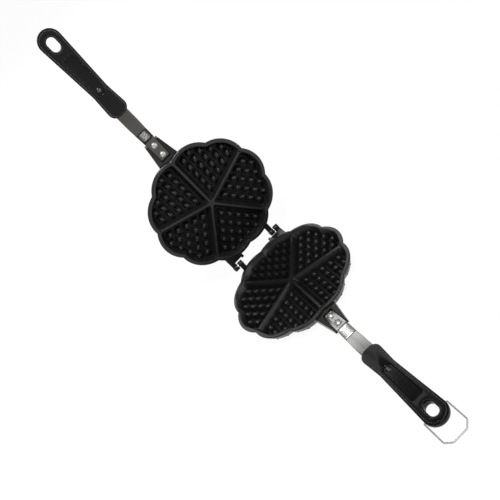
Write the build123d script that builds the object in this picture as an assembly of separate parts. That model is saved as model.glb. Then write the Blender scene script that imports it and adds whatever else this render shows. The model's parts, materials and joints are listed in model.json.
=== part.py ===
from build123d import *
from math import atan2, cos, degrees, radians, sin, sqrt, tan
import os

# Stovetop heart waffle iron, shown open. All sizes are in millimetres and degrees.
# Each half is drawn in its own frame: U (X) runs from the hinge axis to the handle, V (Y) along
# the hinge, and W (Z) is the height over the seam where the two halves meet when shut.
# The lower half then lies on the table, and the upper half is the same casting turned over.

# The two cast plates
hinge_to_centre = 95.4      # hinge axis to the middle of the plate
plate_depth = 19.5          # seam to the flat underside
seam_gap = 0.3              # left between the two rims when the iron is shut
heart_count = 5
lobe_circle = 47.1          # radius of the circle on which the lobe centres lie
lobe_radius = 41.2          # radius of each of the ten lobes of the outline
rim_chamfer = 0.8           # broken edge round the top of the rim
rim_lip = 2.0               # upright part of the rim, down to where the wall starts to lean
wall_knee_depth = 13.0      # depth of the knee between the leaning wall and the rounded base
wall_knee_inset = 5.7       # how far that knee lies inside the rim
wall_foot_depth = 17.0      # depth of a second, lower knee that rounds the base
wall_foot_inset = 11.1
base_inset = 16.0           # how far the flat underside lies inside the rim
rim_width = 4.8             # flat land between the outline and the basin

# The basin inside the rim, and the hearts, ribs and studs in it
rib_drop = 3.0              # how far the rib tops lie under the seam
heart_depth = 9.3           # floor of the hearts under the rib tops
heart_draft = 24.0          # lean of the basin's and the hearts' walls, from upright
rib_width = 3.0             # flat top of the five ribs between the hearts
shoulder_radius = 4.0       # corners of a heart where a rib meets the rim
tip_radius = 2.5            # corner of a heart at the hub
cleft_radius = 1.5          # blunt edge of the cleft between the two lobes of a heart
stud_pitch = 12.7           # along both rib directions
stud_offset = 0.9           # shift of the whole stud grid away from the hub
stud_base = 7.6             # side of a stud at the floor
stud_top = 3.6              # side of a stud at its flat top
stud_height = 7.0
stud_rows = (5, 5, 4, 3, 2)  # studs in each row of one heart

# Casting grooves on the outside, under the ribs
groove_start = 24.0         # from the centre, so that the middle stays flat
groove_end = 92.0
groove_depth = 8.0
groove_width = 15.0

# Hinge lugs, pins, and the flange that joins the outer lug to a nub beside the fork
knuckle_radius = 4.4
lug_width = 7.4
inner_lug_start = 27.2      # from the middle of the hinge to the inner lug
lug_gap = 1.2               # between an inner lug and the outer lug beside it
lug_arm_depth = 7.5
lug_reach = 40.0            # from the hinge axis to well inside the plate
nub_inner_edge = 19.8       # from the middle of the hinge to the nub's inner side
nub_width = 4.0
nub_start = 4.0             # the nub's front end, from the hinge axis
flange_clearance = 1.9      # from the other half's knuckle to the edge of the flange
flange_reach = 19.0         # from the hinge axis to inside the rim
flange_top = 1.0            # depth of the flange's upper face under the seam
flange_depth = 6.0          # depth of its underside
pin_radius = 2.25
pin_clearance = 0.05
pin_head_radius = 3.5
pin_head_height = 1.2
pin_play = 0.3              # end play where a pin head faces the half that turns on it

# Tab that carries the handle strap
tab_root_reach = 62.1       # from the plate's middle to the tab's root inside the wall
tab_root_half_width = 19.2
tab_length = 55.5
tab_end_half_width = 10.4
tab_top = 3.1
tab_root_depth = 15.0
tab_end_depth = 12.0
channel_floor = 7.7         # depth of the channel floor under the seam
channel_side_gap = 0.45
channel_end_gap = 0.6

# Steel strap
strap_thickness = 2.5
strap_overlap = 28.0        # length of the strap that lies on the tab
strap_start_width = 13.7
strap_full_width = 17.8
full_width_lead = 18.7      # length of the strap at full width, in front of the grip
strap_bend_gap = 4.0        # from the tab's end to the first bend
strap_bend_run = 11.1       # length over which the strap steps down
strap_free_run = 33.3       # from the second bend to the grip
strap_bend_radius = 5.0
grip_strap_cover = 3.7      # from the grip's inner face to the strap inside it
tang_set_in = 9.6           # from the grip's front end to the shoulder of the tang
tang_width = 12.0
tang_length = 40.0

# Rivets through strap and tab
rivet_margin = 5.7          # from the strap's end to the inner rivet
rivet_pitch = 16.2
rivet_radius = 2.4
rivet_clearance = 0.05
rivet_head_radius = 4.1
rivet_head_height = 1.7
rivet_eye_radius = 1.5
rivet_eye_depth = 1.0

# Bakelite grip
grip_length = 133.6
grip_front_half_width = 13.3
grip_front_corner = 10.5
grip_front_run = 11.6       # from the front end to where the sides start to draw in
grip_waist_run = 38.7       # from the front end to the waist
grip_waist_half_width = 11.5
grip_waist_radius = 30.0
grip_tip_radius = 15.0
grip_face = 9.8             # depth of the inner face under the seam
grip_thickness = 9.6
grip_ledge = 1.8            # drop from the inner face to the ledge round it
grip_ledge_width = 2.1
grip_land_chamfer = 0.4
grip_back_radius = 5.0
grip_slot_clearance = 0.15

# Thumb pocket in the inner face, with the screw at its narrow end
pocket_set_in = 33.9        # from the grip's front end to the pocket
pocket_start_half_width = 7.0
pocket_length = 60.3
pocket_end_half_width = 8.4
pocket_corner = 3.0
pocket_start_depth = 2.5
pocket_end_depth = 5.0
pocket_floor_radius = 2.0
screw_radius = 2.0
screw_clearance = 0.05
screw_head_radius = 3.6
screw_head_height = 1.9
screw_length = 5.8
screw_slot_width = 1.0
screw_slot_depth = 0.9

# Hang hole
hang_set_back = 5.0         # from the centre of the round tip to the middle of the hole
hang_length = 19.0
hang_width = 12.0
hang_bevel = 1.6            # broken edge round the hole, on both faces

# Wire bail that locks the two grips together
bail_wire = 1.8
bail_reach = 36.6           # pivot to the middle of the end bar
bail_side_gap = 0.3
bail_end_bar = 18.6
bail_corner_drop = 7.0      # length of the leg that the slanted corner takes up
bail_bend_radius = 3.5
bail_insert = 4.2           # length of wire inside the grip
bail_depth = 13.6           # depth of the pivot under the seam
bail_bore_clearance = 0.05
bail_bore_spare = 0.6

# How far the iron stands open
open_angle = 97.1

# How far a cutting shape reaches past the face it cuts
overcut = 1.0

# Values worked out from the sizes above
half_lobe = 180.0 / (2 * heart_count)
wedge = 360.0 / heart_count
rim_level = -seam_gap / 2
outer_lug_start = inner_lug_start + lug_width + lug_gap
outer_lug_end = outer_lug_start + lug_width
strap_top = channel_floor - strap_thickness
tab_root = hinge_to_centre + tab_root_reach
tab_end = tab_root + tab_length
strap_start = tab_end - strap_overlap
rivet_stations = {"inner": strap_start + rivet_margin, "outer": strap_start + rivet_margin + rivet_pitch}
strap_bend_start = tab_end + strap_bend_gap
strap_bend_end = strap_bend_start + strap_bend_run
grip_start = strap_bend_end + strap_free_run
strap_full_width_at = grip_start - full_width_lead
grip_strap_depth = grip_face + grip_strap_cover
tang_shoulder = grip_start + tang_set_in
tang_end = tang_shoulder + tang_length
grip_tip_centre = grip_start + grip_length - grip_tip_radius
pocket_start = grip_start + pocket_set_in
pocket_end = pocket_start + pocket_length
bail_foot_bend = bail_side_gap + bail_wire / 2
bail_leg = grip_tip_radius + bail_foot_bend


def polar(radius, angle, level=0.0):
    """A point round the middle of the plate, by radius and angle."""
    return Vector(hinge_to_centre + radius * cos(radians(angle)), radius * sin(radians(angle)), level)


def cusp_distance(radius):
    """Distance from the middle of the plate to where two lobes of this radius meet."""
    across = lobe_circle * sin(radians(half_lobe))
    return lobe_circle * cos(radians(half_lobe)) + sqrt(radius**2 - across**2)


def lobed_outline(radius, level):
    """The ten-lobed outline at one height, as ten arcs."""
    arcs = []
    for k in range(2 * heart_count):
        start = 2 * half_lobe * k
        arcs.append(
            ThreePointArc(
                polar(cusp_distance(radius), start, level),
                polar(lobe_circle + radius, start + half_lobe, level),
                polar(cusp_distance(radius), start + 2 * half_lobe, level),
            )
        )
    return Wire(arcs)


def plate_blank():
    """The solid plate: chamfered rim, upright lip, leaning wall and rounded base."""
    levels = [
        (rim_level, rim_chamfer),
        (rim_level - rim_chamfer, 0.0),
        (-rim_lip, 0.0),
        (-wall_knee_depth, wall_knee_inset),
        (-wall_foot_depth, wall_foot_inset),
        (-plate_depth, base_inset),
    ]
    return Solid.make_loft([lobed_outline(lobe_radius - inset, level) for level, inset in levels], ruled=True)


def basin_radius(level):
    """Lobe radius of the basin's leaning wall at a level."""
    return lobe_radius - rim_width + level * tan(radians(heart_draft))


def basin_cutter():
    """The shallow basin inside the rim, down to the tops of the ribs."""
    levels = (-rib_drop, overcut)
    return Solid.make_loft([lobed_outline(basin_radius(level), level) for level in levels], ruled=True)


def heart_face(inset, level):
    """Outline of the heart between the ribs at 0 and one wedge, drawn in by an inset."""
    radius = basin_radius(-rib_drop) - inset
    side = rib_width / 2 + inset
    lobe_x = lobe_circle * cos(radians(half_lobe))
    lobe_y = lobe_circle * sin(radians(half_lobe))
    shoulder = Vector(lobe_x + sqrt(radius**2 - (side - lobe_y) ** 2), side)
    crest = Vector(lobe_circle + radius, 0).rotate(Axis.Z, half_lobe)
    cleft = Vector(cusp_distance(radius), 0).rotate(Axis.Z, wedge / 2)
    tip = Vector(side / sin(radians(wedge / 2)), 0).rotate(Axis.Z, wedge / 2)
    far_shoulder = Vector(shoulder.X, -shoulder.Y).rotate(Axis.Z, wedge)
    far_crest = Vector(lobe_circle + radius, 0).rotate(Axis.Z, wedge - half_lobe)
    edges = [
        Line(tip, shoulder),
        ThreePointArc(shoulder, crest, cleft),
        ThreePointArc(cleft, far_crest, far_shoulder),
        Line(far_shoulder, tip),
    ]
    face = make_face(Wire(edges))
    corners = {"tip": tip, "shoulder": shoulder, "far": far_shoulder, "cleft": cleft}
    radii = {"tip": tip_radius, "shoulder": shoulder_radius, "far": shoulder_radius, "cleft": cleft_radius}
    for name, corner in corners.items():
        vertex = min(face.vertices(), key=lambda v: (Vector(v) - corner).length)
        face = fillet(vertex, radii[name])
    return Pos(hinge_to_centre, 0, level) * face


def stud(i, j):
    """One rhombic stud of the heart beside rib 0, at row i and column j."""
    along = Vector(1, 0)
    across = Vector(1, 0).rotate(Axis.Z, wedge)
    middle = along * (stud_offset + i * stud_pitch) + across * (stud_offset + j * stud_pitch)
    sections = []
    slope = (stud_base - stud_top) / 2 / stud_height
    for height in (-overcut, stud_height):
        half = stud_base / 2 - slope * height
        points = [middle + along * (a * half) + across * (b * half) for a, b in ((1, 1), (-1, 1), (-1, -1), (1, -1))]
        level = -rib_drop - heart_depth + height
        sections.append(Wire.make_polygon([Vector(hinge_to_centre + p.X, p.Y, level) for p in points], close=True))
    return Solid.make_loft(sections, ruled=True)


def heart_cutter():
    """What is taken out of the plate for one heart: the hollow without its studs."""
    top = heart_face(0.0, -rib_drop)
    floor = heart_face(heart_depth * tan(radians(heart_draft)), -rib_drop - heart_depth)
    hollow = loft([floor, top], ruled=True) + extrude(top, overcut)
    studs = [stud(i + 1, j + 1) for i, count in enumerate(stud_rows) for j in range(count)]
    return hollow.cut(*studs)


def groove_cutter():
    """A V groove under rib 0 that gets wider and deeper towards the rim."""
    sections = []
    for reach, share in ((groove_start, 0.05), (groove_end, 1.0)):
        half = groove_width / 2 * share
        points = [(-half, -overcut / 2), (half, -overcut / 2), (0, groove_depth * share)]
        sections.append(
            Wire.make_polygon(
                [Vector(hinge_to_centre + reach, y, -plate_depth + z) for y, z in points],
                close=True,
            )
        )
    return Solid.make_loft(sections, ruled=True)


def about_centre(shape, angle):
    """A copy of a shape turned about the middle of the plate."""
    return Pos(hinge_to_centre, 0, 0) * Rot(0, 0, angle) * Pos(-hinge_to_centre, 0, 0) * shape


def lug(start):
    """A hinge lug: a knuckle on the hinge axis with an arm that runs into the plate."""
    plane = Plane.XZ
    knuckle = plane * Circle(knuckle_radius)
    arm_height = lug_arm_depth + rim_level
    arm = plane * Pos(lug_reach / 2, rim_level - arm_height / 2) * Rectangle(lug_reach, arm_height)
    heel = plane * Pos(knuckle_radius / 2, -knuckle_radius / 2) * Rectangle(knuckle_radius, knuckle_radius)
    shape = extrude(knuckle, lug_width) + extrude(arm, lug_width) + extrude(heel, lug_width)
    # The underside of the arm is taken off on a slant from the knuckle to the plate
    slant = make_face(
        Wire.make_polygon(
            [
                Vector(-knuckle_radius, 0, -knuckle_radius),
                Vector(knuckle_radius, 0, -knuckle_radius),
                Vector(knuckle_radius + lug_arm_depth, 0, -lug_arm_depth - overcut),
                Vector(-knuckle_radius, 0, -lug_arm_depth - overcut),
            ],
            close=True,
        )
    )
    shape -= extrude(slant, lug_width, dir=(0, -1, 0))
    return Pos(0, start + lug_width, 0) * shape


def hinge_flange():
    """Cast flange along the rim, from the outer lug to the nub beside the fork."""
    height = flange_depth - flange_top
    front = knuckle_radius + flange_clearance
    width = outer_lug_start + lug_width / 2 - nub_inner_edge
    middle = nub_inner_edge + width / 2
    level = -(flange_top + flange_depth) / 2
    shelf = Pos((front + flange_reach) / 2, middle, level) * Box(flange_reach - front, width, height)
    nub_middle = nub_inner_edge + nub_width / 2
    nub = Pos((nub_start + flange_reach) / 2, nub_middle, level) * Box(flange_reach - nub_start, nub_width, height)
    return shelf + nub


def strap_half_width(station):
    """Half the strap's width at a station, in its tapered front part."""
    share = (station - strap_start) / (strap_full_width_at - strap_start)
    width = strap_start_width + (strap_full_width - strap_start_width) * share
    return width / 2


def tab_depth(station):
    """Depth of the tab's sloping underside at a station."""
    share = (station - tab_root) / (tab_end - tab_root)
    return tab_root_depth + (tab_end_depth - tab_root_depth) * share


def tab():
    """The cast tab, tapered in plan and in depth, before its channel is cut."""
    outline = Polyline(
        (tab_root, -tab_root_half_width),
        (tab_end, -tab_end_half_width),
        (tab_end, tab_end_half_width),
        (tab_root, tab_root_half_width),
        close=True,
    )
    block = Pos(0, 0, -tab_root_depth) * extrude(make_face(outline), tab_root_depth - tab_top)
    side = Polyline(
        (tab_root, -tab_root_depth - overcut),
        (tab_end + overcut, -tab_root_depth - overcut),
        (tab_end + overcut, -tab_depth(tab_end + overcut)),
        (tab_root, -tab_root_depth),
        close=True,
    )
    wedge_cut = extrude(Plane.XZ * make_face(side), 2 * tab_root_half_width, both=True)
    return block - wedge_cut


def channel_cutter():
    """The channel in which the strap lies, open at the top and at the end of the tab."""
    start = strap_start - channel_end_gap
    stop = tab_end + overcut
    first = strap_half_width(start) + channel_side_gap
    last = strap_half_width(stop) + channel_side_gap
    outline = Polyline((start, -first), (stop, -last), (stop, last), (start, first), close=True)
    return Pos(0, 0, -channel_floor) * extrude(make_face(outline), channel_floor + overcut)


def casting():
    """One plate with its hearts, lugs, hinge flange and tab. Both halves use it."""
    body = plate_blank() + tab() + lug(outer_lug_start) + lug(-inner_lug_start - lug_width) + hinge_flange()
    heart = heart_cutter()
    hollows = [about_centre(heart, wedge * k) for k in range(heart_count)]
    groove = groove_cutter()
    # No groove under the rib that points at the handle, where the tab joins the plate
    grooves = [about_centre(groove, wedge * k) for k in range(1, heart_count)]
    bore_length = 2 * (outer_lug_end + overcut)
    bore = Rot(90, 0, 0) * Cylinder(pin_radius + pin_clearance, bore_length)
    holes = [rivet_hole(station) for station in rivet_stations.values()]
    return body.cut(basin_cutter(), *hollows, *grooves, channel_cutter(), bore, *holes)


def rivet_hole(station):
    """Hole through the tab or the strap for one rivet."""
    return Pos(station, 0, -tab_root_depth / 2) * Cylinder(rivet_radius + rivet_clearance, 2 * tab_root_depth)


def domed_head(radius, height):
    """A low domed head that stands on the origin plane."""
    rise = (radius**2 + height**2) / (2 * height)
    dome = Pos(0, 0, height - rise) * Sphere(rise)
    return dome & Pos(0, 0, height / 2) * Box(2 * radius, 2 * radius, height)


def rivet(station):
    """A semi-tubular rivet: rolled eye on the strap side, plain dome under the tab."""
    under = tab_depth(station)
    shank = Pos(0, 0, -(strap_top + under) / 2) * Cylinder(rivet_radius, under - strap_top)
    rolled = Pos(0, 0, -strap_top) * domed_head(rivet_head_radius, rivet_head_height)
    eye = Pos(0, 0, -strap_top + rivet_head_height) * Cylinder(rivet_eye_radius, 2 * rivet_eye_depth)
    slope = degrees(atan2(tab_root_depth - tab_end_depth, tab_end - tab_root))
    dome = Pos(0, 0, -under) * Rot(180, 0, 0) * Rot(0, slope, 0) * domed_head(rivet_head_radius, rivet_head_height)
    return Pos(station, 0, 0) * (shank + rolled - eye + dome)


def strap():
    """The steel strap: tapered, stepped down between tab and grip, with a tang inside the grip."""
    middle = strap_thickness / 2
    path = FilletPolyline(
        (strap_start, 0, -strap_top - middle),
        (strap_bend_start, 0, -strap_top - middle),
        (strap_bend_end, 0, -grip_strap_depth - middle),
        (tang_end, 0, -grip_strap_depth - middle),
        radius=strap_bend_radius,
    )
    section = Plane(origin=path @ 0, x_dir=(0, 1, 0), z_dir=path % 0) * Rectangle(2 * strap_full_width, strap_thickness)
    band = sweep(section, path)
    half = strap_start_width / 2
    full = strap_full_width / 2
    tang = tang_width / 2
    side = [
        (strap_start, half),
        (strap_full_width_at, full),
        (tang_shoulder, full),
        (tang_shoulder, tang),
        (tang_end, tang),
    ]
    outline = Polyline(*side, *[(x, -y) for x, y in reversed(side)], close=True)
    tall = 2 * (grip_strap_depth + strap_thickness)
    shape = band & extrude(make_face(outline), tall, both=True)
    screw_hole = Pos(screw_station(), 0, -grip_strap_depth) * Cylinder(screw_radius + screw_clearance, tall)
    return shape.cut(screw_hole, *[rivet_hole(station) for station in rivet_stations.values()])


def screw_station():
    """The screw stands at the centre of the pocket's round end."""
    return pocket_start + pocket_start_half_width


def grip_outline(inset):
    """Plan of the grip, drawn in all round by an inset."""
    start = grip_start + inset
    front = grip_front_half_width - inset
    waist = grip_waist_half_width - inset
    tip = grip_tip_radius - inset
    waist_at = grip_start + grip_waist_run
    side = [(start, front), (grip_start + grip_front_run, front), (waist_at, waist), (grip_tip_centre, tip)]
    corners = Polyline(*side, *[(x, -y) for x, y in reversed(side)], close=True)
    face = make_face(corners)
    front_points = face.vertices().filter_by_position(Axis.X, start - 0.1, start + 0.1)
    face = fillet(front_points, grip_front_corner - inset)
    waist_points = face.vertices().filter_by_position(Axis.X, waist_at - 0.1, waist_at + 0.1)
    face = fillet(waist_points, grip_waist_radius)
    return face + Pos(grip_tip_centre, 0) * Circle(tip)


def pocket_cutter():
    """The thumb pocket: round at the screw, square at the hang hole, and deeper towards it."""
    centre = pocket_start + pocket_start_half_width
    side = [(centre, pocket_start_half_width), (pocket_end, pocket_end_half_width)]
    body = make_face(Polyline(*side, *[(x, -y) for x, y in reversed(side)], close=True))
    corners = body.vertices().filter_by_position(Axis.X, pocket_end - 0.1, pocket_end + 0.1)
    plan = fillet(corners, pocket_corner) + Pos(centre, 0) * Circle(pocket_start_half_width)
    level = -grip_face
    column = Pos(0, 0, level - grip_thickness) * extrude(plan, 2 * grip_thickness)
    profile = Polyline(
        (pocket_start - overcut, level - pocket_start_depth),
        (centre + screw_head_radius, level - pocket_start_depth),
        (pocket_end + overcut, level - pocket_end_depth),
        (pocket_end + overcut, level + overcut),
        (pocket_start - overcut, level + overcut),
        close=True,
    )
    slab = extrude(Plane.XZ * make_face(profile), 2 * pocket_end_half_width, both=True)
    cutter = column & slab
    low = [e for e in cutter.edges() if e.bounding_box().max.Z < level - 0.5]
    rims = [e for e in low if abs(e.center().Y) > 1.0 or e.center().X < centre or e.center().X > pocket_end - 1]
    return fillet(rims, pocket_floor_radius)


def hang_hole():
    """The long hole near the tip, with bevelled edges on both faces."""
    hang_middle = grip_tip_centre - hang_set_back
    plan = Pos(hang_middle, 0) * SlotOverall(hang_length, hang_width)
    bottom = -grip_face - grip_thickness
    hole = Pos(0, 0, bottom - overcut) * extrude(plan, grip_thickness + 2 * overcut)
    for level, direction in ((-grip_face, 1), (bottom, -1)):
        wide = Pos(hang_middle, 0, level) * SlotOverall(hang_length + 2 * hang_bevel, hang_width + 2 * hang_bevel)
        narrow = Pos(hang_middle, 0, level - direction * hang_bevel) * SlotOverall(hang_length, hang_width)
        hole += loft([narrow, wide], ruled=True)
    return hole


def grip(with_bail_bores):
    """Bakelite grip with a raised inner face, a slot for the tang, a pocket and a hang hole."""
    ledge = -grip_face - grip_ledge
    bottom = -grip_face - grip_thickness
    body = Pos(0, 0, bottom) * extrude(grip_outline(0), grip_thickness - grip_ledge)
    back = body.faces().sort_by(Axis.Z)[0]
    body = fillet(back.outer_wire().edges(), grip_back_radius)
    land = Pos(0, 0, ledge) * extrude(grip_outline(grip_ledge_width), grip_ledge)
    land = chamfer(land.faces().sort_by(Axis.Z)[-1].edges(), grip_land_chamfer)
    body += land
    clear = grip_slot_clearance
    slot_height = strap_thickness + 2 * clear
    slot_middle = -grip_strap_depth - strap_thickness / 2
    wide = Box(2 * (tang_shoulder - grip_start + clear), strap_full_width + 2 * clear, slot_height)
    deep = Box(2 * (tang_end - grip_start + clear), tang_width + 2 * clear, slot_height)
    screw_bore = Pos(screw_station(), 0, -grip_face - pocket_start_depth - screw_length / 2) * Cylinder(
        screw_radius + screw_clearance, screw_length + overcut
    )
    cuts = [
        Pos(grip_start, 0, slot_middle) * wide,
        Pos(grip_start, 0, slot_middle) * deep,
        screw_bore,
        pocket_cutter(),
        hang_hole(),
    ]
    if with_bail_bores:
        depth = bail_leg - bail_wire / 2 - bail_side_gap - bail_insert - bail_bore_spare
        for side in (1, -1):
            length = grip_tip_radius + overcut - depth
            bore = Rot(90, 0, 0) * Cylinder(bail_wire / 2 + bail_bore_clearance, length)
            cuts.append(Pos(grip_tip_centre, side * (depth + length / 2), -bail_depth) * bore)
    return body.cut(*cuts)


def grip_screw():
    """Slotted pan-head screw that pins the grip to the tang."""
    seat = -grip_face - pocket_start_depth
    shank = Pos(0, 0, seat - screw_length / 2) * Cylinder(screw_radius, screw_length)
    head = Pos(0, 0, seat) * domed_head(screw_head_radius, screw_head_height)
    slot = Pos(0, 0, seat + screw_head_height) * Box(3 * screw_head_radius, screw_slot_width, 2 * screw_slot_depth)
    return Pos(screw_station(), 0, 0) * (shank + head - slot)


def hinge_pin(inner_play, outer_play):
    """Riveted pin through an inner lug and the outer lug beside it, on the +V side."""
    start = inner_lug_start - inner_play
    stop = outer_lug_end + outer_play
    shank = Pos(0, 0, (start + stop) / 2) * Cylinder(pin_radius, stop - start)
    outside = Pos(0, 0, stop) * domed_head(pin_head_radius, pin_head_height)
    inside = Pos(0, 0, start) * Rot(180, 0, 0) * domed_head(pin_head_radius, pin_head_height)
    return Rot(-90, 0, 0) * (shank + outside + inside)


def wire_bail():
    """The wire loop, with both ends turned in to the grip, lying level with it."""
    foot = grip_tip_radius - bail_insert
    side = [
        (0, foot),
        (0, bail_leg),
        (bail_reach - bail_corner_drop, bail_leg),
        (bail_reach, bail_end_bar / 2),
    ]
    points = [(x, y, 0) for x, y in side] + [(x, -y, 0) for x, y in reversed(side)]
    radii = [bail_foot_bend, bail_bend_radius, bail_bend_radius]
    path = FilletPolyline(*points, radius=radii + radii[::-1])
    section = Plane(origin=path @ 0, z_dir=path % 0) * Circle(bail_wire / 2)
    loop = sweep(section, path)
    return Pos(grip_tip_centre, 0, -bail_depth) * loop


def lower(shape):
    """Places a shape of the half's frame in the lower half, which lies on the table."""
    return Pos(-hinge_to_centre, 0, plate_depth) * shape


def upper(shape):
    """Places a shape in the upper half: turned over, then lifted open about the hinge."""
    return Pos(-hinge_to_centre, 0, plate_depth) * Rot(0, -open_angle, 0) * Rot(180, 0, 0) * shape


def all_nodes():
    """Every piece of the iron, by name, in its place."""
    plate = casting()
    band = strap()
    screw = grip_screw()
    plain_grip = grip(with_bail_bores=False)
    bail_grip = grip(with_bail_bores=True)
    fixed_in_outer = hinge_pin(inner_play=pin_play, outer_play=0.0)
    fixed_in_inner = Rot(180, 0, 0) * hinge_pin(inner_play=0.0, outer_play=pin_play)
    nodes = {
        "lower_plate": lower(plate),
        "upper_plate": upper(plate),
        "lower_strap": lower(band),
        "upper_strap": upper(band),
        "lower_grip": lower(bail_grip),
        "upper_grip": upper(plain_grip),
        "lower_grip_screw": lower(screw),
        "upper_grip_screw": upper(screw),
        "hinge_pin_right": lower(fixed_in_outer),
        "hinge_pin_left": lower(fixed_in_inner),
        "wire_bail": lower(wire_bail()),
    }
    for name, station in rivet_stations.items():
        nodes[f"lower_{name}_rivet"] = lower(rivet(station))
        nodes[f"upper_{name}_rivet"] = upper(rivet(station))
    return nodes


def write_parts():
    """Writes each piece to its own file."""
    os.makedirs("parts", exist_ok=True)
    for name, shape in all_nodes().items():
        export_step(shape, f"parts/{name}.step")
        print(f"{name}: {shape.volume / 1000:.2f} cm3")


write_parts()
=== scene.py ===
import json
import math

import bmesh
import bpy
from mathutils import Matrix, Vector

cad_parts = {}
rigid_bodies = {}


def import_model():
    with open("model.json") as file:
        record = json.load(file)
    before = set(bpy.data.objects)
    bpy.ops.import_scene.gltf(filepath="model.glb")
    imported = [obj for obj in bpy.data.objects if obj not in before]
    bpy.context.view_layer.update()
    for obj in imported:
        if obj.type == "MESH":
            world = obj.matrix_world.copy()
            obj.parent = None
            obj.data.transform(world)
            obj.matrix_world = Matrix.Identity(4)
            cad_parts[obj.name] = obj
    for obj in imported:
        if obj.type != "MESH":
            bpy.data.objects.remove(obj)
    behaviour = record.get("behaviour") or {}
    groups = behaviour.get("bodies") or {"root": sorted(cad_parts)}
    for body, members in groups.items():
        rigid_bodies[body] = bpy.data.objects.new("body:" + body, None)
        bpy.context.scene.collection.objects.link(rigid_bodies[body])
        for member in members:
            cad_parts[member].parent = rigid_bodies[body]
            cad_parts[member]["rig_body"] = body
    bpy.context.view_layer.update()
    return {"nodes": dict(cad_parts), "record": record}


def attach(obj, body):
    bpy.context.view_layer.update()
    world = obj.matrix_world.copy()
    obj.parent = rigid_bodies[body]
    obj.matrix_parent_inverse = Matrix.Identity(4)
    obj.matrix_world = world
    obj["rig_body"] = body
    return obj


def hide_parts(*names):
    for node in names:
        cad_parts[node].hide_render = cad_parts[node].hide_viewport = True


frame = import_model()

# %% [markdown]
# # A stovetop heart waffle iron
# The real iron is two round cast plates on a hinge. Each plate has five heart hollows full of small
# studs, a cast tab, a steel strap and a long dark grip. A wire bail on the lower grip holds the iron shut.
# The solids come ready made from the CAD model and stay where they are. This file adds what a camera
# sees on them: softened edges, studs with domed tops, cast grain, brushed metal, moulded gloss, light
# and a camera.

bodies = {node: obj["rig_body"] for node, obj in frame["nodes"].items()}
slots = {row["node"]: row["material_slot"] for row in frame["record"]["subparts"]}

# %% [markdown]
# ## The camera
# The photograph was taken from the handle's end, about 37 degrees above the table, with the camera
# rolled so that the iron lies from corner to corner. The numbers come from a fit of the plates'
# outlines, the ribs and the rivets. The camera is turned first and then moved back along its own axis,
# so it stays aimed beside the hinge, which is near the middle of the picture.

# %% Camera
turn = math.radians(91.12)
tilt = math.radians(53.13)
roll = math.radians(225.03)
aim = Vector((-0.1021, -0.0083, 0.0195))
distance = 1.00705

camera_data = bpy.data.cameras.new("camera")
camera_data.sensor_width = 36.0
camera_data.lens = 51.54
camera_data.clip_start = 0.01
camera = bpy.data.objects.new("camera", camera_data)
bpy.context.scene.collection.objects.link(camera)
rotation = Matrix.Rotation(-turn, 4, "Z") @ Matrix.Rotation(-tilt, 4, "X") @ Matrix.Rotation(-roll, 4, "Z")
backwards = rotation @ Vector((0, 0, 1))
camera.matrix_world = Matrix.Translation(aim + distance * backwards) @ rotation
bpy.context.scene.camera = camera
print("camera stands at", [round(c, 3) for c in camera.matrix_world.translation])

# %% [markdown]
# ## A way to write shaders as sums
# A finish is a net of nodes. Wiring it by hand hides the idea, so a socket is wrapped in a small class:
# adding or multiplying two of them adds the Math node for it. Every other node comes from one method.


# %% Sockets in sums
class Value:
    """An output socket of a finish, ready for sums."""

    def __init__(self, graph, socket):
        self.graph = graph
        self.socket = socket

    def combine(self, operation, first, second):
        return self.graph.node("ShaderNodeMath", {"operation": operation}, {0: first, 1: second})

    def __add__(self, other):
        return self.combine("ADD", self, other)

    def __sub__(self, other):
        return self.combine("SUBTRACT", self, other)

    def __rsub__(self, other):
        return self.combine("SUBTRACT", other, self)

    def __mul__(self, other):
        return self.combine("MULTIPLY", self, other)

    __radd__ = __add__
    __rmul__ = __mul__


print("sockets can be added, subtracted and multiplied")


# %% Nodes of a finish
class Graph:
    """The node tree of one finish."""

    def __init__(self, tree):
        self.tree = tree

    def fill(self, node, inputs):
        """Gives the named sockets of a node a value or a link."""
        for name, value in inputs.items():
            if isinstance(value, Value):
                self.tree.links.new(value.socket, node.inputs[name])
            else:
                node.inputs[name].default_value = value

    def node(self, kind, settings=None, inputs=None, output=0):
        """Adds a node, with its settings before its inputs, and gives back one of its outputs."""
        made = self.tree.nodes.new(kind)
        for name, value in (settings or {}).items():
            setattr(made, name, value)
        self.fill(made, inputs or {})
        return Value(self, made.outputs[output])

    def place(self, scale=(1.0, 1.0, 1.0)):
        """Object coordinates, in metres, stretched by a Mapping node."""
        spot = self.node("ShaderNodeTexCoord", output="Object")
        return self.node("ShaderNodeMapping", {}, {"Vector": spot, "Scale": scale})

    def noise(self, place, scale, detail, roughness=0.5):
        """A soft noise with about as many grains to a metre as its scale."""
        inputs = {"Vector": place, "Scale": scale, "Detail": detail, "Roughness": roughness}
        return self.node("ShaderNodeTexNoise", {}, inputs)

    def attribute(self, name):
        """A number that the mesh of a piece carries."""
        return self.node("ShaderNodeAttribute", {"attribute_name": name}, output="Fac")

    def mix(self, first, second, amount):
        """A colour between two, by an amount from 0 to 1. A Mix node has its colours at 6 and 7."""
        first, second = (c if isinstance(c, Value) else (*c, 1.0) for c in (first, second))
        inputs = {0: amount, 6: first, 7: second}
        return self.node("ShaderNodeMix", {"data_type": "RGBA"}, inputs, output=2)

    def ramp(self, amount, low, high):
        """Stretches the part of an amount between two limits to the range from 0 to 1."""
        inputs = {"Value": amount, "From Min": low, "From Max": high}
        return self.node("ShaderNodeMapRange", {"clamp": True}, inputs)

    def bump(self, height, distance, strength):
        inputs = {"Height": height, "Distance": distance, "Strength": strength}
        return self.node("ShaderNodeBump", {}, inputs)


print("nodes come from one method")


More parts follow.
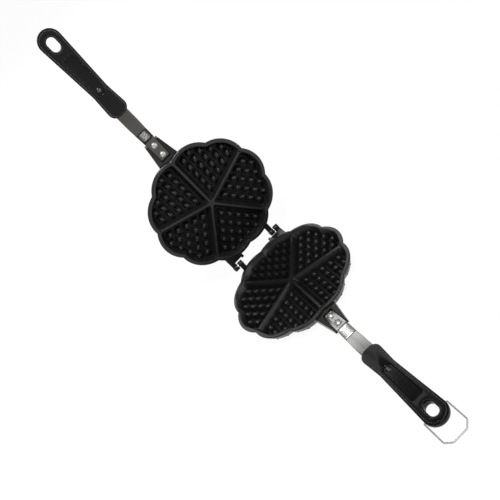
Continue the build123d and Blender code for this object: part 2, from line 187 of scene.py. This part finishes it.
# %% A new finish
def new_finish(name, metallic):
    """A material with one Principled shader, and the graph to wire it with."""
    material = bpy.data.materials.new(name)
    material.use_nodes = True
    surface = material.node_tree.nodes["Principled BSDF"]
    surface.inputs["Metallic"].default_value = metallic
    return material, Graph(material.node_tree), surface


def grey(level):
    return (level, level, level)


print("a mid grey is written", grey(0.5))

# %% [markdown]
# ## The non-stick coating on the castings
# The plates are cast aluminium under a sprayed black coating. It is satin, not glossy, and follows the
# grain of the casting. A fine noise and a coarser one give that grain as bump, and a broad one makes
# colour and sheen a little uneven, as a sprayed film is. Two numbers come from the mesh of a plate.
# One, named edge, marks its soft edges, which get a lighter colour as a painted highlight. The other,
# named lift, is the height above the floor of a heart: light hardly reaches the pits between the studs, so
# they shine less than the tops, and the painted edge highlight is weaker there too.

# %% Coating
film_dark = grey(0.0065)
film_light = grey(0.0125)
# Painted highlight: the light colour given to the coating's soft edges
film_painted_highlight = grey(0.17)
pit_lift = 0.15
open_lift = 0.90


def coating_finish():
    material, graph, surface = new_finish("satin_coating", metallic=0.0)
    place = graph.place()
    grain = graph.noise(place, scale=1400.0, detail=2.0)
    pebble = graph.noise(place, scale=420.0, detail=3.0, roughness=0.6)
    cloud = graph.noise(place, scale=45.0, detail=2.0)
    shine = graph.ramp(graph.attribute("lift"), pit_lift, open_lift)
    # Painted highlight on the soft edges, weaker down in the pits where little light reaches
    painted_edge_highlight = graph.attribute("edge") * pebble * shine
    graph.fill(surface, {
        "Base Color": graph.mix(graph.mix(film_dark, film_light, cloud), film_painted_highlight, painted_edge_highlight),
        "Roughness": 0.24 + 0.10 * cloud + 0.06 * pebble,
        "Normal": graph.bump(grain * 0.4 + pebble, distance=0.00018, strength=0.55),
        "Coat Weight": 0.68 * shine,
        "Coat Roughness": 0.30,
        "Specular IOR Level": 0.08,
    })
    return material


coating = coating_finish()
print("finish made:", coating.name)

# %% [markdown]
# ## Moulded grips
# The grips are pressed from a dark thermoset plastic. The mould is polished, so they are glossy, with
# faint orange peel and small changes of gloss from handling. Their soft edges get a much lighter colour,
# a painted highlight.

# %% Grip plastic
plastic_dark = grey(0.003)
plastic_light = grey(0.006)
# Painted highlight: the light colour given to the grips' soft edges
plastic_painted_highlight = grey(0.35)


def grip_finish():
    material, graph, surface = new_finish("moulded_thermoset", metallic=0.0)
    place = graph.place()
    peel = graph.noise(place, scale=260.0, detail=2.0)
    cloud = graph.noise(place, scale=30.0, detail=3.0)
    # Painted highlight on the soft edges, unevenly spread
    painted_edge_highlight = graph.attribute("edge") * cloud
    graph.fill(surface, {
        "Base Color": graph.mix(graph.mix(plastic_dark, plastic_light, cloud), plastic_painted_highlight, painted_edge_highlight),
        "Roughness": 0.14 + 0.10 * cloud,
        "Normal": graph.bump(peel, distance=0.0001, strength=0.5),
        "Specular IOR Level": 0.17,
    })
    return material


grip_plastic = grip_finish()
print("finish made:", grip_plastic.name)

# %% [markdown]
# ## Bright metals
# The strap is rolled steel, brushed along its length, so its noise is stretched thin along the strap.
# The lower strap lies along X and the upper one stands up, so each gets its own direction. The upper one
# looks much darker in the photograph, so its tint is darker too: the same steel, with painted shade in
# its colour. The small pieces are turned, pressed or drawn, and their noise is even or nearly so.


# %% Brushed steel
def steel_finish(name, stretch, tint, rough):
    """A metal with brush lines, so many to a metre along X, Y and Z, and two limits of roughness."""
    material, graph, surface = new_finish(name, metallic=1.0)
    lines = graph.noise(graph.place(scale=stretch), scale=1.0, detail=3.0, roughness=0.65)
    cloud = graph.noise(graph.place(), scale=70.0, detail=3.0)
    dark = tuple(0.80 * c for c in tint)
    low, high = rough
    graph.fill(surface, {
        "Base Color": graph.mix(dark, tint, lines * 0.6 + cloud * 0.4),
        "Roughness": low + (high - low) * lines,
        "Normal": graph.bump(lines, distance=0.00004, strength=0.10),
    })
    return material


along = 40.0
across = 1500.0
flat_brush = (along, across, across)
upright_brush = (across, across, along)
pin_brush = (600.0, 300.0, 600.0)
even_grain = (500.0, 500.0, 500.0)
wire_grain = (400.0, 400.0, 400.0)
strap_finishes = {
    "lower_strap": steel_finish(
        "brushed_steel_flat", flat_brush, tint=(0.36, 0.36, 0.355), rough=(0.18, 0.32)
    ),
    # The upper strap's darker tint is painted shade on the same steel
    "upper_strap": steel_finish(
        "brushed_steel_upright_painted_shade", upright_brush, tint=(0.10, 0.096, 0.092), rough=(0.12, 0.22)
    ),
}
rivet_steel = steel_finish("rivet_steel", even_grain, tint=(0.66, 0.65, 0.64), rough=(0.42, 0.56))
pin_steel = steel_finish("pin_steel", pin_brush, tint=(0.60, 0.60, 0.59), rough=(0.20, 0.34))
screw_steel = steel_finish("darkened_steel", even_grain, tint=grey(0.13), rough=(0.28, 0.42))
wire_steel = steel_finish("plated_wire", wire_grain, tint=grey(0.58), rough=(0.45, 0.60))
print(len(strap_finishes), "finishes for the straps and four for the small pieces")

# %% [markdown]
# ## Which node wears which finish
# The CAD model gives every node a material slot. One node of each slot says here which finish it takes,
# and the others of that slot follow. The straps share a slot but not a finish, so they come first.

# %% Finish of a node
by_slot = {
    slots["lower_plate"]: coating,
    slots["lower_grip"]: grip_plastic,
    slots["lower_inner_rivet"]: rivet_steel,
    slots["hinge_pin_right"]: pin_steel,
    slots["lower_grip_screw"]: screw_steel,
    slots["wire_bail"]: wire_steel,
}


def finish_of(node):
    """The finish of a strap, or else that of the node's slot."""
    if node in strap_finishes:
        return strap_finishes[node]
    return by_slot[slots[node]]


print(len(by_slot), "finishes by slot")

# %% [markdown]
# ## Edges softened by the mould
# No cast or moulded edge is sharp. Each grip, strap and plate is a merged copy of its CAD solid with its
# flat faces joined again and a small Bevel, so that an edge catches a thin line of light as the real one
# does. The Bevel puts its new faces in a second material slot. That tells them apart, so they can be
# marked on the mesh for the finishes to read, and then the slot is taken away again.

# %% Copies to work on
same_point = 0.000002


def select_only(obj):
    bpy.ops.object.select_all(action="DESELECT")
    obj.select_set(True)
    bpy.context.view_layer.objects.active = obj


def open_whole(piece):
    """Opens a piece in edit mode with all of it selected."""
    select_only(piece)
    bpy.ops.object.mode_set(mode="EDIT")
    bpy.ops.mesh.select_all(action="SELECT")


def merged_copy(node):
    """A copy of a CAD node with its loose triangles joined."""
    piece = bpy.data.objects.new(node + "_finished", frame["nodes"][node].data.copy())
    bpy.context.scene.collection.objects.link(piece)
    open_whole(piece)
    bpy.ops.mesh.remove_doubles(threshold=same_point)
    bpy.ops.object.mode_set(mode="OBJECT")
    return piece


def stand_for(piece, node):
    """Makes a finished piece take the place of its CAD node."""
    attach(piece, bodies[node])
    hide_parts(node)


print("points of a copy are joined when closer than", 1000 * same_point, "mm")

# %% Flat faces, and faces on an edge
flat_angle = math.radians(0.6)


def join_flat_faces(piece):
    """Joins the triangles that lie in one plane."""
    open_whole(piece)
    bpy.ops.mesh.dissolve_limited(angle_limit=flat_angle)
    bpy.ops.object.mode_set(mode="OBJECT")


def mark_edges(piece):
    """Turns the second material slot, where the Bevel's faces are, into a number on each face."""
    on_edge = [float(face.material_index) for face in piece.data.polygons]
    piece.data.attributes.new("edge", "FLOAT", "FACE").data.foreach_set("value", on_edge)
    for face in piece.data.polygons:
        face.material_index = 0
    piece.data.materials.pop(index=1)
    print(piece.name, len(on_edge), "faces,", round(sum(on_edge)), "of them on soft edges")


print("faces within", round(math.degrees(flat_angle), 1), "degrees of each other count as one")

# %% Soft grips and straps
smooth_angle = math.radians(36.0)


def soften(piece, node, width, segments, angle, limit="ANGLE"):
    """Bevels the sharp edges of the active piece, which then stands for its node."""
    finish = finish_of(node)
    piece.data.materials.clear()
    piece.data.materials.append(finish)
    piece.data.materials.append(finish)
    bevel = piece.modifiers.new("softened", "BEVEL")
    bevel.width = width
    bevel.segments = segments
    bevel.limit_method = limit
    bevel.angle_limit = angle
    bevel.material = 1
    bpy.ops.object.modifier_apply(modifier=bevel.name)
    mark_edges(piece)
    bpy.ops.object.shade_smooth_by_angle(angle=smooth_angle)
    stand_for(piece, node)


def soft_copy(node, width, segments, angle):
    """A merged copy with soft edges that stands for its node."""
    piece = merged_copy(node)
    join_flat_faces(piece)
    soften(piece, node, width, segments, math.radians(angle))


for side in ("lower", "upper"):
    soft_copy(side + "_grip", width=0.0005, segments=3, angle=30.0)
    soft_copy(side + "_strap", width=0.0002, segments=2, angle=40.0)

# %% [markdown]
# ## Studs with domed tops
# Each heart is filled with studs that taper from a wide foot to a small dome, on a grid along its two
# ribs. The CAD solid has plain pyramids in their place. One stud is modelled here from a cube: its
# upright edges are rounded, its top is drawn in and then up ring by ring, and last it is turned and
# squeezed to a rhombus. The order of the faces that an operator makes can differ from run to run, so
# the mesh is then built again with its points and faces sorted by place.


# %% A mesh in order
def put_in_order(obj):
    """Rebuilds a mesh with its points and faces sorted by place, so that every run gives the same one."""
    mesh = obj.data
    spots = [tuple(vertex.co) for vertex in mesh.vertices]
    order = sorted(range(len(spots)), key=spots.__getitem__)
    rank = {old: new for new, old in enumerate(order)}
    faces = []
    for face in mesh.polygons:
        loop = [rank[index] for index in face.vertices]
        start = loop.index(min(loop))
        faces.append(loop[start:] + loop[:start])
    sorted_mesh = bpy.data.meshes.new(obj.name)
    sorted_mesh.from_pydata([spots[index] for index in order], [], sorted(faces))
    obj.data = sorted_mesh


print("meshes can be sorted by place")

# %% The block of a stud
hearts = 5
wedge = math.radians(360.0 / hearts)
origin = (0.0, 0.0, 0.0)
stud_foot = 0.0098
stud_sunk = 0.0005
stud_corner = 0.0018
# Half the width, and the height, of each ring of the dome, from the lowest up
stud_rings = ((0.0027, 0.0060), (0.00242, 0.0066), (0.00195, 0.00705), (0.0012, 0.00735), (0.0004, 0.00745))


def stud_block(tall):
    """A square block with rounded upright edges, open in edit mode, with its foot a little sunk."""
    bpy.ops.object.select_all(action="DESELECT")
    bpy.ops.mesh.primitive_cube_add(size=1.0)
    block = bpy.context.object
    bpy.ops.object.mode_set(mode="EDIT")
    bpy.ops.mesh.select_all(action="SELECT")
    bpy.ops.transform.resize(value=(stud_foot, stud_foot, tall), center_override=origin)
    bpy.ops.transform.translate(value=(0.0, 0.0, tall / 2 - stud_sunk))
    bpy.ops.mesh.select_mode(type="EDGE")
    bpy.ops.mesh.select_all(action="DESELECT")
    mesh = bmesh.from_edit_mesh(block.data)
    for edge in mesh.edges:
        edge.select = abs(edge.verts[0].co.z - edge.verts[1].co.z) > stud_sunk
    bmesh.update_edit_mesh(block.data)
    bpy.ops.mesh.bevel(offset=stud_corner, segments=2, affect="EDGES")
    bpy.ops.mesh.select_mode(type="VERT")
    return block


print("hearts on a plate:", hearts, "each over", round(math.degrees(wedge)), "degrees")


# %% The dome of a stud
def select_above(obj, level):
    """Selects the points, of the piece being edited, that lie above a level."""
    mesh = bmesh.from_edit_mesh(obj.data)
    bpy.ops.mesh.select_all(action="DESELECT")
    for vertex in mesh.verts:
        vertex.select = vertex.co.z > level
    mesh.select_flush(True)
    bmesh.update_edit_mesh(obj.data)


def draw_dome():
    """Narrows the selected top to the first ring and draws the other rings out of it."""
    half, top = stud_rings[0]
    share = 2 * half / stud_foot
    bpy.ops.transform.resize(value=(share, share, 1.0), center_override=origin)
    for next_half, next_top in stud_rings[1:]:
        bpy.ops.mesh.extrude_region_move(TRANSFORM_OT_translate={"value": (0.0, 0.0, next_top - top)})
        share = next_half / half
        bpy.ops.transform.resize(value=(share, share, 1.0), center_override=origin)
        half, top = next_half, next_top


print("rings of the dome:", len(stud_rings))


# %% One stud
def make_stud():
    """A rhombic stud that stands on the origin."""
    tall = stud_rings[0][1] + stud_sunk
    stud = stud_block(tall)
    select_above(stud, tall / 2)
    draw_dome()
    bpy.ops.mesh.select_all(action="SELECT")
    bpy.ops.transform.rotate(value=math.radians(45.0), orient_axis="Z", center_override=origin)
    wide = math.sqrt(2.0) * math.cos(wedge / 2)
    narrow = math.sqrt(2.0) * math.sin(wedge / 2)
    bpy.ops.transform.resize(value=(wide, narrow, 1.0), center_override=origin)
    bpy.ops.mesh.normals_make_consistent(inside=False)
    bpy.ops.object.mode_set(mode="OBJECT")
    put_in_order(stud)
    return stud


stud = make_stud()
print("stud faces:", len(stud.data.polygons), "size, mm:", [round(1000 * d, 2) for d in stud.dimensions])

# %% [markdown]
# ## Where the studs stand
# Each half of the iron has a frame of its own, with the hinge at its origin, the handle along X and the
# seam at height 0. The upper frame is the lower one turned over and swung open about the hinge. In each
# heart the studs stand on a grid along its two ribs, in rows that get shorter towards the rim.

# %% Studs in their places
hinge_to_centre = 0.0954
plate_depth = 0.0195
heart_floor = 0.0123
stud_pitch = 0.0127
stud_offset = 0.0009
stud_rows = (5, 5, 4, 3, 2)
open_angle = math.radians(97.1)
hinge = Matrix.Translation((-hinge_to_centre, 0.0, plate_depth))
half_frames = {
    "lower": hinge,
    "upper": hinge @ Matrix.Rotation(-open_angle, 4, "Y") @ Matrix.Rotation(math.pi, 4, "X"),
}


def stud_places():
    """Where each stud of a plate stands, in the frame of its half."""
    floor_centre = Matrix.Translation((hinge_to_centre, 0.0, -heart_floor))
    for heart in range(hearts):
        turned = floor_centre @ Matrix.Rotation(heart * wedge, 4, "Z")
        for row, count in enumerate(stud_rows):
            for column in range(count):
                first = stud_offset + (row + 1) * stud_pitch
                second = stud_offset + (column + 1) * stud_pitch
                spot = (first + second * math.cos(wedge), second * math.sin(wedge), 0.0)
                yield turned @ Matrix.Translation(spot) @ Matrix.Rotation(wedge / 2, 4, "Z")


print("studs on a plate:", len(list(stud_places())))


# %% All studs of a plate
def all_studs():
    """The studs of the lower plate, joined as one mesh at their places."""
    copies = []
    for place in stud_places():
        data = stud.data.copy()
        data.transform(half_frames["lower"] @ place)
        copy = bpy.data.objects.new("lower_studs", data)
        bpy.context.scene.collection.objects.link(copy)
        copies.append(copy)
    bpy.ops.object.select_all(action="DESELECT")
    for copy in copies:
        copy.select_set(True)
    bpy.context.view_layer.objects.active = copies[0]
    bpy.ops.object.join()
    return bpy.context.view_layer.objects.active


studs = all_studs()
print("faces of all studs:", len(studs.data.polygons))

# %% [markdown]
# ## The lower casting
# A Boolean joins the studs with a copy of the lower plate and swallows the plain ones. It leaves narrow
# slivers at the feet of the studs, where a Bevel would have no room. So only the sharp edges near the
# seam, those of the ribs and the rim, get a bevel weight. Last, each point in a heart is given its
# height, for the coating to read.

# %% Studs on the lower plate
plate = merged_copy("lower_plate")
select_only(plate)
union = plate.modifiers.new("studs", "BOOLEAN")
union.operation = "UNION"
union.solver = "EXACT"
union.object = studs
bpy.ops.object.modifier_apply(modifier=union.name)
for helper in (studs, stud):
    bpy.data.objects.remove(helper)
put_in_order(plate)
print("faces of the plate with its studs:", len(plate.data.polygons))

# %% Soft edges near the seam
seam_band = 0.0015
sharp_angle = math.radians(38.0)
home = half_frames["lower"].inverted()


def weigh_edges(plate):
    """Gives a bevel weight to the sharp edges of a plate that lie near its seam, clear of the studs."""
    mesh = bmesh.new()
    mesh.from_mesh(plate.data)
    weight = mesh.edges.layers.float.new("bevel_weight_edge")
    for edge in mesh.edges:
        near_seam = all((home @ vertex.co).z > -seam_band for vertex in edge.verts)
        if near_seam and edge.is_manifold and edge.calc_face_angle() > sharp_angle:
            edge[weight] = 1.0
    mesh.to_mesh(plate.data)
    mesh.free()


join_flat_faces(plate)
weigh_edges(plate)
soften(plate, "lower_plate", width=0.0005, segments=2, angle=sharp_angle, limit="WEIGHT")

# %% Heights in the hearts
hearts_reach = 0.0885
outside_lift = 0.5
least_upward = -0.02


def mark_lift(plate):
    """Writes on each point in a heart how high it lies, from 0 to 1, and on all others a middle value."""
    turn_home = home.to_3x3()
    lifts = []
    for vertex in plate.data.vertices:
        spot = home @ vertex.co
        faces_up = (turn_home @ vertex.normal).z > least_upward
        inside = math.hypot(spot.x - hinge_to_centre, spot.y) < hearts_reach
        lift = (spot.z + heart_floor) / stud_rings[-1][1]
        lifts.append(min(max(lift, 0.0), 1.0) if inside and faces_up else outside_lift)
    plate.data.attributes.new("lift", "FLOAT", "POINT").data.foreach_set("value", lifts)


mark_lift(plate)
print("heights written on", len(plate.data.vertices), "points")

# %% [markdown]
# ## The upper casting
# Both plates are the same casting. The finished lower one is copied, turned over and swung about the
# hinge to where the upper plate is, so the two are alike in every stud and edge.

# %% Upper casting
twin = bpy.data.objects.new("upper_plate_finished", plate.data.copy())
bpy.context.scene.collection.objects.link(twin)
twin.data.transform(half_frames["upper"] @ home)
stand_for(twin, "upper_plate")
print(twin.name, len(twin.data.polygons), "faces")

# %% [markdown]
# ## Pieces that stay as they are
# Pins, rivets, screws and the wire are already right in shape. They only need their metal. The loop
# dresses every node, also those that a finished piece stands for.

# %% Metal on the small pieces
for node, obj in frame["nodes"].items():
    obj.data.materials.clear()
    obj.data.materials.append(finish_of(node))
print("nodes dressed:", len(frame["nodes"]))

# %% [markdown]
# ## The floor
# The photograph is a studio shot on pure white. To the camera, and in what mirrors it, the floor is
# mostly a white glow. The glow lights nothing else, because all other rays meet a plain matt surface,
# and the little of that surface which the camera sees still shows the soft shadow of the iron.

# %% Floor
floor_size = 14.0
floor_grey = 0.90
glow_strength = 1.03
glow_share = 0.92


def floor_finish():
    material = bpy.data.materials.new("pale_floor")
    material.use_nodes = True
    tree = material.node_tree
    tree.nodes.remove(tree.nodes["Principled BSDF"])
    graph = Graph(tree)
    seen = (
        graph.node("ShaderNodeLightPath", output="Is Camera Ray")
        + graph.node("ShaderNodeLightPath", output="Is Glossy Ray")
        + graph.node("ShaderNodeLightPath", output="Is Transmission Ray")
    )
    matt = graph.node("ShaderNodeBsdfDiffuse", {}, {"Color": (*grey(floor_grey), 1.0)})
    glow = graph.node("ShaderNodeEmission", {}, {"Color": (*grey(1.0), 1.0), "Strength": glow_strength})
    both = graph.node("ShaderNodeMixShader", {}, {0: seen * glow_share, 1: matt, 2: glow})
    graph.fill(tree.nodes["Material Output"], {"Surface": both})
    return material


bpy.ops.mesh.primitive_plane_add(size=floor_size, location=(0.0, 0.0, 0.0))
floor = bpy.context.object
floor.name = "floor"
floor.data.materials.append(floor_finish())
print("floor laid, metres across:", floor_size)

# %% [markdown]
# ## The light
# A dark iron is seen by what it mirrors. The world is bright near the horizon, where it gives soft edges
# of light, and dim above, so that level faces stay dark. A lamp high over the camera lights the hearts
# and the straps, a wide one behind the hinge lights the backs, and a weak one fills in from one side.

# %% World
sky_strength = 0.15
horizon_strength = 0.75
horizon_top = 0.16
dim_from = 0.32

world = bpy.data.worlds.new("studio")
bpy.context.scene.world = world
world.use_nodes = True
sky = Graph(world.node_tree)
spread = sky.node("ShaderNodeTexCoord", output="Generated")
height = sky.node("ShaderNodeSeparateXYZ", {}, {"Vector": spread}, output="Z")
near_horizon = 1.0 - sky.ramp(height, horizon_top, dim_from)
strength = sky_strength + horizon_strength * near_horizon
sky.fill(world.node_tree.nodes["Background"], {"Color": (*grey(1.0), 1.0), "Strength": strength})
print("world made:", world.name)


# %% Lamps
def soft_lamp(name, place, target, size, watts):
    """An oblong soft lamp that faces a point, unseen by the camera."""
    data = bpy.data.lights.new(name, "AREA")
    data.shape = "RECTANGLE"
    data.size, data.size_y = size
    data.energy = watts
    lamp = bpy.data.objects.new(name, data)
    bpy.context.scene.collection.objects.link(lamp)
    lamp.location = place
    lamp.visible_camera = False
    lamp.rotation_euler = (Vector(target) - Vector(place)).to_track_quat("-Z", "Y").to_euler()
    print(name, "at", place, "with", watts, "watts")


middle = (0.0, 0.0, 0.12)
soft_lamp("lamp_top", place=(0.88, 0.0, 2.68), target=(0.1, 0.0, 0.0), size=(1.0, 0.40), watts=48.0)
soft_lamp("lamp_back", place=(-1.25, 0.0, 1.0), target=middle, size=(1.3, 1.3), watts=10.5)
soft_lamp("lamp_front", place=(0.82, 0.88, 0.36), target=middle, size=(1.0, 1.0), watts=4.0)
bpy.context.scene.view_settings.view_transform = "Standard"
